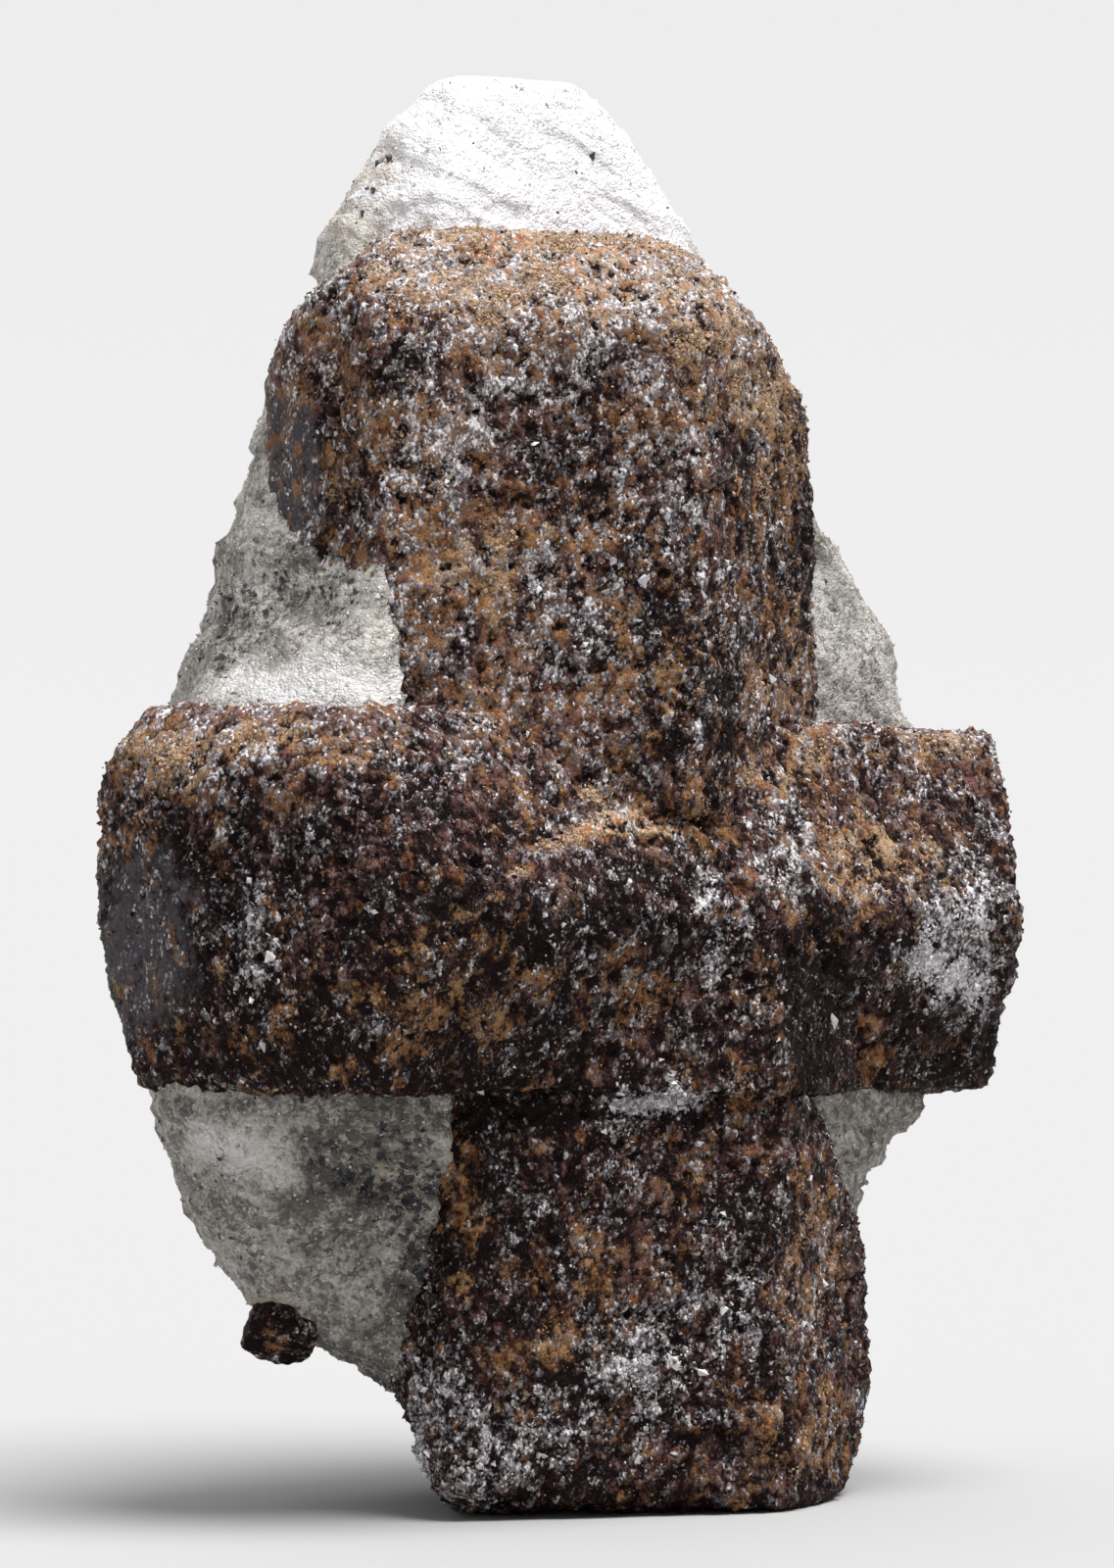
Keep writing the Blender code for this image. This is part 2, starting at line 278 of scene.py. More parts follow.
PALE_SPOTS = (
    (0.6, 2.6, 0.8, 0.5, 0.30),
    (-7.9, -4.5, 1.3, 0.6, 0.45),
    (-9.8, -0.5, 0.7, 1.6, 0.22),
    (8.8, -1.3, 1.1, 1.9, 1.3),
    (9.4, 1.2, 0.6, 1.0, 0.5),
    (-6.9, -1.3, 0.7, 1.3, 0.6),
    (-7.4, 2.6, 1.2, 0.5, 0.60),
    (1.6, -4.7, 1.7, 0.35, 0.9),
    (1.7, -10.6, 1.5, 1.8, 0.65),
    (3.6, -8.6, 0.7, 1.6, 0.5),
    (-2.6, -12.8, 1.3, 1.0, 0.8),
    (-3.0, -10.6, 0.6, 1.6, 0.7),
    (-0.6, -12.2, 1.2, 0.9, 0.35),
    (-3.1, 10.0, 0.9, 1.5, 0.5),
    (-1.0, 11.6, 0.6, 0.9, 0.45),
    (1.6, 11.4, 0.5, 0.7, 0.6),
    (-0.7, 7.0, 0.5, 0.6, 0.7),
    (2.2, 9.0, 0.4, 1.4, 0.4),
    (-4.0, 7.0, 0.5, 2.2, 0.45),
    (3.2, -0.6, 0.6, 1.6, 0.4),
    (1.4, -1.4, 0.8, 1.0, 0.3),
    (4.6, 1.4, 0.9, 1.6, 0.4),
    (-1.6, -6.0, 0.9, 0.6, 0.35),
)
# Dark stone, and painted shade beside the long crystal's edges where the short arm meets it
DARK_AND_SHADE_SPOTS = (
    (-2.7, -3.0, 2.2, 1.2, 0.28),
    (0.6, 9.4, 1.4, 1.6, 0.20),
    (4.4, 8.2, 0.9, 4.2, 0.30),
    (2.0, 5.2, 1.2, 2.2, 0.6),
    (-6.2, 8.6, 1.4, 2.2, 0.55),
    (-5.8, -3.4, 1.6, 1.2, 0.55),
    (-9.4, -1.0, 1.8, 2.4, 0.5),
    (-2.4, -6.4, 1.0, 2.2, 0.6),
    (5.5, -2.4, 0.9, 2.2, 0.45),
    (3.0, 1.9, 0.35, 0.4, 1.0),
    (-2.6, -0.9, 2.4, 0.7, 0.3),
    (5.4, 8.6, 0.6, 3.0, 0.5),
    (9.6, -3.8, 1.0, 0.6, 0.3),
)
# Thin lines: rust along the arched edge over the crossing, then pale lines down the long crystal's
# ridge and down its right edge below the arm
ARCH_LINE = (
    (-3.7, -1.05, 0.35, 0.16, 0.8),
    (-3.1, -0.72, 0.35, 0.16, 0.8),
    (-2.5, -0.38, 0.35, 0.16, 0.9),
    (-1.9, 0.05, 0.35, 0.17, 1.0),
    (-1.3, 0.55, 0.35, 0.18, 1.0),
    (-0.7, 1.00, 0.35, 0.20, 1.0),
    (-0.1, 1.30, 0.35, 0.20, 1.0),
    (0.6, 1.50, 0.40, 0.24, 1.0),
    (1.3, 1.55, 0.40, 0.24, 1.0),
    (2.0, 1.50, 0.40, 0.20, 0.9),
)
RIDGE_LINE = (
    (2.85, 6.4, 0.15, 1.3, 0.35),
    (2.80, 3.8, 0.15, 1.6, 0.40),
    (2.75, 9.4, 0.15, 1.4, 0.25),
    (4.62, -2.6, 0.14, 1.9, 0.30),
    (4.62, -7.4, 0.16, 1.6, 0.20),
)
# Shadows in the inner corners, then worn places that are smooth and slate grey
EDGE_SHADE = (
    (3.25, 4.4, 0.28, 2.6, 0.7),
    (5.25, -2.6, 0.55, 2.0, 0.8),
    (-0.4, -4.95, 3.6, 0.16, 0.9),
    (2.95, 1.95, 0.22, 0.3, 1.2),
)
SMOOTH_SPOTS = (
    (-6.6, 9.6, 0.9, 2.4, 0.9),
    (-9.6, -1.0, 1.4, 2.6, 0.7),
)
# The surface's grains, coarse, middle and fine, each (size, seed, height, rim, lift), with the size and
# the height in mm. A grain falls from its centre to nothing at rim, a share of its size, and its
# random tag plus lift says how high it stands.
CRYSTAL_GRAINS = (
    (0.62, 11, 0.38, 0.48, -0.30),
    (0.30, 31, 0.27, 0.50, 0.15),
    (0.17, 61, 0.12, 0.50, 0.30),
)
PIT_DEPTH = 0.18
HEIGHT_RANGE = 0.3


def granular(points, layers):
    """The height of packed grains, height * (rim - distance) * (tag + lift) summed over the layers,
    and the middle layer's distances and tags."""
    found = [grains(points, size, seed) for size, seed, *_ in layers]
    total = 0
    for (near, tag), (_, _, height, rim, lift) in zip(found, layers):
        total = total + height * (rim - near) * (tag + lift)
    return total, found[1]


def weathered(points, facing, roughness=1.0):
    """Moves a staurolite surface in or out: slow swells and knobs, then rounded grains at three sizes,
    each as high as its random tag says, and a pit where a grain has dropped out. Returns the points
    and the grains' height in mm, by which the finish paints shade between the grains and highlights
    on their tops."""
    calm = 1 - 0.8 * np.clip(patches(points, facing, SMOOTH_SPOTS), 0, 1)
    swell = 0.10 * lumps(points, 2.9, 1) + 0.10 * lumps(points, 0.95, 2)
    rough, (near, tag) = granular(points, CRYSTAL_GRAINS)
    rough -= PIT_DEPTH * s_curve(tag, 0.92, 0.96) * s_curve(0.6 - near, 0, 0.3)
    rough *= calm * roughness
    return points + facing * (swell + rough)[:, None], rough


def stains(points, facing, height):
    """What the finish reads at each point: how rusty, pale, dark and smooth the surface is, how much
    it looks up, and how high its grains stand, from the patches above and slow noise that also
    covers the sides that the photo hides. Dark holds painted shade as well as dark stone, and the
    finish paints faces that look up lighter and paints shade between low grains."""
    drift = 0.5 * lumps(points, 1.9, 71) + 0.5 * lumps(points, 0.8, 72)
    drift_pale = 0.6 * lumps(points, 1.5, 73) + 0.4 * lumps(points, 0.6, 74)
    # More rust and pale and less dark higher up the cross, above the crossing and again near the top
    higher_up = s_curve(points[:, 2], 1.0, 4.0) + 0.35 * s_curve(points[:, 2], 10.0, 14.0)
    rust = 0.26 + 0.12 * higher_up + 0.25 * drift + 0.55 * patches(points, facing, RUSTY_SPOTS)
    rust += 0.55 * patches(points, facing, ARCH_LINE, 0.14)
    pale = 0.20 + 0.13 * higher_up + 0.24 * drift_pale + 0.60 * patches(points, facing, PALE_SPOTS)
    pale += 0.60 * patches(points, facing, RIDGE_LINE, 0.08)
    # Dark stone together with painted shade, from the dark places and the shadows in the inner corners
    dark = 0.28 - 0.20 * higher_up - 0.25 * drift + 0.75 * patches(points, facing, DARK_AND_SHADE_SPOTS)
    dark += 0.70 * patches(points, facing, EDGE_SHADE, 0.10)
    return {
        "rust": np.clip(rust, 0, 1),
        "pale": np.clip(pale, 0, 1),
        "dark": np.clip(dark, 0, 1),
        "smooth": np.clip(patches(points, facing, SMOOTH_SPOTS), 0, 1),
        "sky": np.clip(0.5 + 0.5 * facing[:, 2], 0, 1),
        "height": np.clip(0.5 + height / HEIGHT_RANGE, 0, 1),
    }


def kept_inside(points):
    """Keeps points, in mm from the heart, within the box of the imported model."""
    low, high = (np.array(corner) / MM - HEART for corner in cad_box)
    return np.clip(points, low + BOX_MARGIN, high - BOX_MARGIN)


def add_piece(name, points, polygons, values, material, smooth=True):
    """A mesh from arrays: points in mm from the heart, polygons as arrays of equal-sided faces, and
    values as one number for each point under each name."""
    mesh = bpy.data.meshes.new(name)
    corners = np.concatenate([p.ravel() for p in polygons]).astype(np.int32)
    sides = np.concatenate([np.full(len(p), p.shape[1]) for p in polygons])
    starts = np.concatenate(([0], np.cumsum(sides)[:-1])).astype(np.int32)
    mesh.vertices.add(len(points))
    mesh.vertices.foreach_set("co", ((kept_inside(points) + HEART) * MM).astype(np.float32).ravel())
    mesh.loops.add(len(corners))
    mesh.loops.foreach_set("vertex_index", corners)
    mesh.polygons.add(len(sides))
    mesh.polygons.foreach_set("loop_start", starts)
    mesh.polygons.foreach_set("use_smooth", np.full(len(sides), smooth))
    mesh.update(calc_edges=True)
    for key, numbers in values.items():
        mesh.attributes.new(key, "FLOAT", "POINT").data.foreach_set("value", numbers.astype(np.float32))
    mesh.materials.append(material)
    made = bpy.data.objects.new(name, mesh)
    bpy.context.scene.collection.objects.link(made)
    return made


class Field:
    """One output of a material's nodes. Arithmetic on fields and numbers adds Math nodes."""

    def __init__(self, tree, socket=None):
        self.tree = tree
        self.socket = socket

    def node(self, kind, inputs=None, output=0, stops=(), **settings):
        """Adds a node: its settings and colour stops first, then a value or a link for each input."""
        made = self.tree.nodes.new("ShaderNode" + kind)
        for key, value in settings.items():
            setattr(made, key, value)
        if stops:
            first, last = made.color_ramp.elements
            first.position, first.color = stops[0]
            last.position, last.color = stops[-1]
            for place, colour in stops[1:-1]:
                made.color_ramp.elements.new(place).color = colour
        for key, value in (inputs or {}).items():
            if isinstance(value, Field):
                self.tree.links.new(value.socket, made.inputs[key])
            else:
                made.inputs[key].default_value = value
        return Field(self.tree, None if output is None else made.outputs[output])

    def maths(self, operation, *terms):
        return self.node("Math", dict(enumerate(terms)), operation=operation)

    def __add__(self, other):
        return self.maths("ADD", self, other)

    __radd__ = __add__

    def __sub__(self, other):
        return self.maths("SUBTRACT", self, other)

    def __rsub__(self, other):
        return self.maths("SUBTRACT", other, self)

    def __mul__(self, other):
        return self.maths("MULTIPLY", self, other)

    __rmul__ = __mul__

    def __gt__(self, other):
        return self.maths("GREATER_THAN", self, other)

    def ramped(self, low, high):
        """0 below low and 1 above high, with an S-curve between."""
        return self.node(
            "MapRange", {"Value": self, "From Min": low, "From Max": high}, interpolation_type="SMOOTHSTEP"
        )

    def blend(self, under, over):
        """The colour under where this field is 0, and over where it is 1."""
        return self.node("Mix", {0: self, 6: under, 7: over}, output=2, data_type="RGBA")


def new_material(name):
    material = bpy.data.materials.new(name)
    material.use_nodes = True
    material.node_tree.nodes.clear()
    return material, Field(material.node_tree)


def place_in_mm(start, stretch=(1.0, 1.0, 1.0)):
    """The point's own place in mm, squeezed along each axis, for patterns that have a real size."""
    place = start.node("TexCoord", output="Object")
    return place.node("VectorMath", {0: place, 1: tuple(s / MM for s in stretch)}, operation="MULTIPLY")


def shifted(place, distance):
    """The same pattern's place moved distance mm along each axis, for noise that must not repeat."""
    return place.node("VectorMath", {0: place, 1: (distance,) * 3}, operation="ADD")


def noise(place, size, detail=3.0, roughness=0.6):
    return place.node(
        "TexNoise", {"Vector": place, "Scale": 1 / size, "Detail": detail, "Roughness": roughness}
    )


def cells(place, size, wobble=0.35):
    """Packed grains size mm across, with wobbly sides: the distance to the nearest grain's centre, and
    two random numbers of that grain."""
    push = place.node("TexNoise", {"Vector": place, "Scale": 2.2 / size, "Detail": 1.0}, output="Color")
    push = push.node("VectorMath", {0: push, "Scale": wobble * size}, operation="SCALE")
    moved = place.node("VectorMath", {0: place, 1: push}, operation="ADD")
    distance = moved.node("TexVoronoi", {"Vector": moved, "Scale": 1 / size}, output="Distance")
    colour = Field(distance.tree, distance.socket.node.outputs["Color"])
    parts = colour.node("SeparateColor", {0: colour})
    second = Field(parts.tree, parts.socket.node.outputs[1])
    return distance, parts, second


def close_material(material, start, colour, roughness, normal, **others):
    """The finished surface: its colour, roughness and normal, and any other inputs of the shader."""
    shader = start.node(
        "BsdfPrincipled",
        {"Base Color": colour, "Roughness": roughness, "Normal": normal, **others},
    )
    start.node("OutputMaterial", {"Surface": shader}, output=None)
    return material


# Linear colours of the stone's parts
BLACK_BROWN = (0.0075, 0.0028, 0.0028, 1)
DEEP_BROWN = (0.050, 0.0220, 0.0200, 1)
WARM_BROWN = (0.165, 0.085, 0.069, 1)
RED_BROWN = (0.175, 0.066, 0.026, 1)
OCHRE = (0.370, 0.208, 0.092, 1)
TAN = (0.530, 0.390, 0.260, 1)
CREAM = (0.740, 0.580, 0.400, 1)
ORANGE_RUST = (0.370, 0.120, 0.032, 1)
DIM_GLASS = (0.085, 0.074, 0.076, 1)
SLATE = (0.072, 0.068, 0.076, 1)
GREY_GLASS = (0.230, 0.207, 0.212, 1)
WHITE_GLASS = (0.760, 0.730, 0.740, 1)
STAUROLITE_SHEEN = 0.07


def staurolite_material():
    """Dark brown stone made of small grains. Clouds of rust and of pale glassy grains lie over it where
    the point's own numbers say, broken up grain by grain. Painted shade makes the hollows between grains
    near black and the dark places darker, painted highlights lie on the tops of some grains, and faces
    that look up are lighter, partly from dust and partly from painted light."""
    material, start = new_material("staurolite_stone")
    place = place_in_mm(start, (1.0, 1.0, 0.8))
    rust, pale, dark, smooth, sky, height = (
        start.node("Attribute", output="Fac", attribute_name=key)
        for key in ("rust", "pale", "dark", "smooth", "sky", "height")
    )
    rust_cloud = noise(place, 0.70, 6.0, 0.62)
    pale_cloud = noise(shifted(place, 31.0), 0.50, 7.0, 0.72)
    base_cloud = noise(shifted(place, 57.0), 0.36, 6.0, 0.68)
    veil = noise(shifted(place, 83.0), 1.0, 4.0, 0.60)
    speckle = noise(place, 0.075, 2.0, 0.6)
    far, one, two = cells(place, 0.15)
    fine_far, fine_one, fine_two = cells(place, 0.062)

    # The ground, near black to warm brown, and slate grey where it is worn smooth. It is darker where
    # the dark value holds painted shade, and lighter on faces that look up, partly pale dust and partly
    # painted light from above
    tone = base_cloud * 1.35 - 0.16 + (veil - 0.5) * 0.60 + (one - 0.5) * 0.22 + (fine_one - 0.5) * 0.16
    tone = tone - (dark - 0.14) * 0.55 + (sky - 0.5) * 0.20
    base = tone.ramped(0.36, 0.60).blend(BLACK_BROWN, DEEP_BROWN)
    base = tone.ramped(0.50, 0.76).blend(base, WARM_BROWN)
    base = ((smooth * 1.4 + (base_cloud - 0.5) * 1.5).ramped(0.35, 1.0) * 0.8).blend(base, SLATE)

    # Rust, red-brown to ochre, tan where there is most of it and on faces that look up, partly dust and
    # partly painted light, with a few orange and cream grains
    rusty = rust_cloud * 1.2 - 0.10 + (two - 0.5) * 0.16 + (fine_two - 0.5) * 0.10
    rusty = rusty + (rust - 0.30) * 0.42 - (dark - 0.2) * 0.10
    ochre = (pale_cloud * 1.1 + fine_one * 0.2 + rust * 0.2).ramped(0.50, 0.92)
    rust_colour = ochre.blend(RED_BROWN, OCHRE)
    tan = (rust * 0.8 + pale_cloud * 0.8 + fine_two * 0.2 + sky * 0.2).ramped(1.05, 1.50)
    rust_colour = tan.blend(rust_colour, TAN)
    vivid = (rust + (rust_cloud - 0.5) * 0.8).ramped(0.80, 1.12)
    vivid_colour = (pale_cloud + (fine_one - 0.5) * 0.2).ramped(0.45, 0.58).blend(ORANGE_RUST, CREAM)
    rust_colour = vivid.blend(rust_colour, vivid_colour)
    coloured = (rusty.ramped(0.50, 0.74) * 0.92).blend(base, rust_colour)

    # Glassy grains in clusters, dim to white, a few more on faces that look up, partly dust and partly
    # painted light
    glassy = pale_cloud * 1.3 - 0.14 + (one - 0.5) * 0.32 + (fine_one - 0.5) * 0.26
    glassy = glassy + (speckle - 0.5) * 0.3 + (pale - 0.30) * 0.45
    glassy = glassy + (sky - 0.5) * 0.12 - (dark - 0.2) * 0.16
    glass_colour = (glassy + (fine_two - 0.5) * 0.3).ramped(0.52, 0.74).blend(DIM_GLASS, GREY_GLASS)
    glass_colour = (glassy + (fine_two - 0.5) * 0.4).ramped(0.70, 0.98).blend(glass_colour, WHITE_GLASS)
    coloured = (glassy.ramped(0.50, 0.68) * 0.88).blend(coloured, glass_colour)

    # Painted shade between the grains, painted highlights on the tops of some, and a few that glint
    painted_grain_lighting = height * 0.8 + (1 - far) * 0.35 + (1 - fine_far) * 0.25 + (speckle - 0.5) * 0.3
    coloured = painted_grain_lighting.ramped(0.36, 0.66).blend(BLACK_BROWN, coloured)
    painted_crest_highlight = painted_grain_lighting.ramped(0.78, 1.15) * (pale_cloud * 2.0 - 0.6)
    coloured = (painted_crest_highlight * 0.45).blend(coloured, WHITE_GLASS)
    glint = (fine_one > 0.982) * (1 - smooth * 0.7)
    coloured = (glint * 0.7).blend(coloured, GREY_GLASS)
    roughness = 0.28 + one * 0.2 + speckle * 0.35 - glint * 0.3
    relief = (1 - far) * 0.9 + (1 - fine_far) * 0.55 + speckle * 0.8 + fine_one * 0.35
    bump = start.node("Bump", {"Strength": 0.9, "Distance": 0.055 * MM, "Height": relief})
    others = {"IOR": 1.5, "Specular IOR Level": STAUROLITE_SHEEN, "Metallic": glint * 0.75}
    return close_material(material, start, coloured, roughness, bump, **others)


staurolite_stone = staurolite_material()
crystals = []


def crystal_piece(name, faces, lean, spine, axis, columns, rows):
    """One crystal of the cross: rays from its spine to its faces, weathering along the normals, and
    its stains. It joins the list of crystals, which the loose grains are scattered over later."""
    planes = plane_set(faces, lean)
    turns = even_turns(planes, spine, axis, columns)
    starts, rays, body = spine_rays(spine, axis, turns, rows)
    flat_points, facing = meet_planes(starts, rays, planes)
    points, height = weathered(flat_points, facing)
    values = stains(flat_points, facing, height)
    made = add_piece(name, points, wrapped_faces(body, columns), values, staurolite_stone)
    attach(made, "root")
    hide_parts("staurolite_twin")
    crystals.append((planes, points, facing, values, body, columns))


crystal_piece(
    "long_crystal_upper",
    UPPER_FACES,
    lean=0,
    spine=((-0.9, 0.1, -0.2), (-0.9, 0.1, 8.6)),
    axis=2,
    columns=400,
    rows=(14, 96, 128),
)

# The long crystal, lower end
# The same crystal below the crossing, set a little forward there. Its foot is broken off flat, and
# chipped at the front left corner.

RIGHT_EDGE_UNDER_ROCK = (RIGHT, 21.8, 3.2)
LOWER_FACES = (
    (-SLOPE, 0, 4.71),
    (SLOPE, 0, 5.65),
    (-90, 0, 5.9),
    (90, 0, 6.5),
    (SLOPE - 180, 0, 4.25),
    (180 - SLOPE, 0, 5.10),
    (0, 90, 2.6),
    (90, 53, 0.6),
    (0, -90, 14.0),
    (LEFT, -24, 8.3),
    (RIGHT, -25, 11.4),
    (-40, -70, 14.4),
    RIGHT_EDGE_UNDER_ROCK,
)

crystal_piece(
    "long_crystal_lower",
    LOWER_FACES,
    lean=0,
    spine=((0.6, 0.1, -10.2), (-1.6, 0.1, -1.6)),
    axis=2,
    columns=400,
    rows=(96, 100, 40),
)

# The short crystal
# The arm that crosses at a right angle, also staurolite, and twinned with the long one. Its left end is
# worn round and smooth, and its right end is broken off square.

TWIN_LEAN = 1.4
CROSS_LEFT_END = (
    (-22, 0, 7.9),
    (-45, 0, 9.9),
    (-64, 0, 10.9),
    (-80, 0, 11.5),
    (-97, 0, 11.8),
    (LEFT, 0, 10.75),
    (LEFT, 31, 10.3),
    (-78, 38, 10.5),
    (-45, 32, 9.6),
    (-78, -26, 11.5),
    (LEFT, -18, 10.6),
)
CROSS_FACES = CROSS_LEFT_END + (
    (0, SLOPE, 4.75),
    (0, -SLOPE, 5.09),
    (90, 90, 3.9),
    (90, -90, 4.6),
    (180, SLOPE, 4.3),
    (180, -SLOPE, 4.5),
    (68, 0, 10.8),
    (92, 0, 10.9),
    (122, 0, 9.9),
    (RIGHT, 0, 10.6),
    (80, -42, 12.0),
    (80, 48, 12.2),
)

crystal_piece(
    "short_crystal",
    CROSS_FACES,
    lean=TWIN_LEAN,
    spine=((-7.6, 0.0, 0.2), (7.4, 0.0, -0.2)),
    axis=0,
    columns=350,
    rows=(60, 158, 56),
)

# The step in front of the crossing
# A thin layer of the short crystal stands proud of the face below an arched edge, where the two
# crystals grew into each other. It runs on over the front of the long crystal below.

SEAM_SET_BACK = 0.06
SEAM_EDGE = ((-90, 64, 3.25), (-90, 78, 2.30), (90, 53, 0.60), (90, -90, 4.55), (180, 0, 2.0))
SEAM_ON_CROSS = (
    SEAM_EDGE
    + ((0, SLOPE, 5.05), (0, -SLOPE, 5.40), (90, 0, 1.2))
    + tuple((turn, tilt, reach - SEAM_SET_BACK) for turn, tilt, reach in CROSS_LEFT_END)
)
SEAM_ON_LOWER = SEAM_EDGE + ((-SLOPE, 0, 5.06), (SLOPE, 0, 5.85), (-90, 0, 6.1))

crystal_piece(
    "seam_on_short_crystal",
    SEAM_ON_CROSS,
    lean=TWIN_LEAN,
    spine=((-6.6, -1.6, -1.4), (-1.4, -1.6, -1.4)),
    axis=0,
    columns=260,
    rows=(60, 60, 60),
)
crystal_piece(
    "seam_on_long_crystal",
    SEAM_ON_LOWER,
    lean=TWIN_LEAN,
    spine=((-1.6, -1.2, -2.4), (-1.0, -1.2, -1.4)),
    axis=2,
    columns=330,
    rows=(70, 12, 70),
)

# The mica schist
# The pale grey rock that the cross grew in, still stuck to its back and in the corners between the
# arms. Clean and sugary white on top, and sprinkled with black grains at the left, which under the
# crossing paint its shade.

ROCK_FACES = (
    (0, 90, 18.85),
    (LEFT, 60, 18.35),
    (LEFT, 43, 16.35),
    (LEFT, 25, 12.75),
    (LEFT, 18, 10.2),
    (LEFT, 0, 10.3),
    (LEFT, -18, 10.85),
    (LEFT, -32, 11.55),
    (LEFT, -61, 11.8),
    (RIGHT, 65, 17.7),
    (RIGHT, 50, 15.4),
    (RIGHT, 36, 12.15),
    (RIGHT, 27, 9.2),
    (RIGHT, -34, 10.4),
    (-10, 45, 12.7),
    (0, 17, 4.5),
    (10, 10, 3.4),
    (0, -10, 4.2),
    (-70, 30, 10.9),
    (-70, 0, 10.5),
    (-67, -30, 11.1),
    (-25, -16, 5.9),
    (90, 0, 10.9),
    (0, -90, 13.1),
    (180, 0, 6.1),
    (180, 35, 13.2),
    (180, -32, 11.4),
    (RIGHT + 90, 0, 9.6),
    (LEFT - 90, 0, 9.6),
)
# Each hollow is (turn, tilt, width in degrees, depth as a share of the reach)
ROCK_HOLLOWS = ((-95, 36, 15, 0.08), (80, -36, 15, 0.09), (-173, 42, 16, 0.23))
ROCK_ROUNDING = 18
ROCK_SPINE = ((-0.6, 0.9, -6.4), (-0.4, 0.9, 9.6))
ROCK_COLUMNS = 330
ROCK_ROWS = (100, 70, 120)
# The way that the schist's layers face, the share added to distances across them where noise is read,
# and how far apart the ledges of the back are and how high, in mm
LAYERS_FACE = (0.36, -0.20, 0.91)
LAYER_STRETCH = 2.4
LAYER_STEP = 2.6
LEDGE_HEIGHT = 0.36
# A crystal's face is a front face where its normal's share towards the front is over FRONT_FACING.
# Rock that covers such a face by less than OPEN_FRONT is tucked in to TUCKED_IN behind it, in mm.
FRONT_FACING = 0.85
OPEN_FRONT = 6.0
TUCKED_IN = 0.25
ROCK_GRAINS = (
    (0.75, 91, 0.24, 0.48, -0.2),
    (0.34, 111, 0.20, 0.5, 0.2),
    (0.18, 131, 0.11, 0.5, 0.3),
)

DARK_ROCK = (0.082, 0.074, 0.063, 1)
GREY_ROCK = (0.290, 0.268, 0.236, 1)
PALE_ROCK = (0.520, 0.500, 0.465, 1)
CLEAN_WHITE = (0.765, 0.757, 0.772, 1)
WARM_ROCK = (0.430, 0.360, 0.275, 1)
RUST_ON_ROCK = (0.300, 0.190, 0.105, 1)
BLACK_MICA = (0.022, 0.023, 0.028, 1)

# White places, then dirty tan ones and places with many black grains, as patches reads them. Black
# grains under the crossing and beside the long crystal's lower end paint the shade there.
WHITE_TOP = 0.4
CLEAN_SPOTS = (
    (6.4, -6.4, 1.6, 1.4, 0.12),
    (-7.6, -5.6, 1.2, 0.8, 0.15),
    (0.0, 17.4, 6.0, 2.6, 1.0),
    (-5.6, 4.6, 3.6, 0.7, 0.35),
    (6.6, 6.4, 1.4, 2.6, 0.16),
    (-7.6, -7.0, 1.6, 2.6, 0.15),
    (-5.0, 7.2, 0.6, 1.8, 0.15),
)
DIRTY_SPOTS = (
    (-5.0, 16.0, 1.4, 1.6, 0.5),
    (-9.0, 5.0, 1.2, 1.0, 0.4),
    (-6.4, 12.6, 0.9, 1.8, 0.5),
    (-7.2, -9.6, 0.8, 0.8, 0.6),
    (-3.6, -6.4, 1.4, 1.0, 0.35),
)
MICA_AND_SHADE_SPOTS = (
    (-4.9, 16.2, 0.9, 0.9, 0.45),
    (-8.0, 6.0, 1.4, 1.4, 0.40),
    (-5.7, 7.2, 0.8, 1.4, 0.55),
    # These two paint the shade under the crossing as black grains
    (-4.4, -6.2, 1.5, 1.2, 0.90),
    (-3.4, -8.4, 0.6, 2.2, 0.80),
    (-8.2, -7.0, 1.2, 1.6, 0.20),
    (5.6, -8.0, 0.8, 1.4, 0.3),
)


def behind_fronts(points, faces, lean):
    """Tucks points that cover a crystal's front in behind it: a point inside the crystal's outline
    but in front of it moves straight back through its nearest front face."""
    normals, reach = plane_set(faces, lean)
    front = -normals[:, 1] > FRONT_FACING
    over = points @ normals.T - reach
    covers = (over <= np.where(front, OPEN_FRONT, 0.0)).all(axis=1)
    over_front = np.where(front, over, -np.inf)
    which = over_front.argmax(axis=1)
    excess = over_front.max(axis=1) + TUCKED_IN
    push = np.where(covers & (excess > 0), excess, 0.0)
    return points - normals[which] * push[:, None]


def layered(points):
    """The points pulled out along the direction that the schist's layers face, so that noise read
    there lies in flat layers."""
    face = np.array(LAYERS_FACE)
    return points + (points @ face)[:, None] * face * LAYER_STRETCH


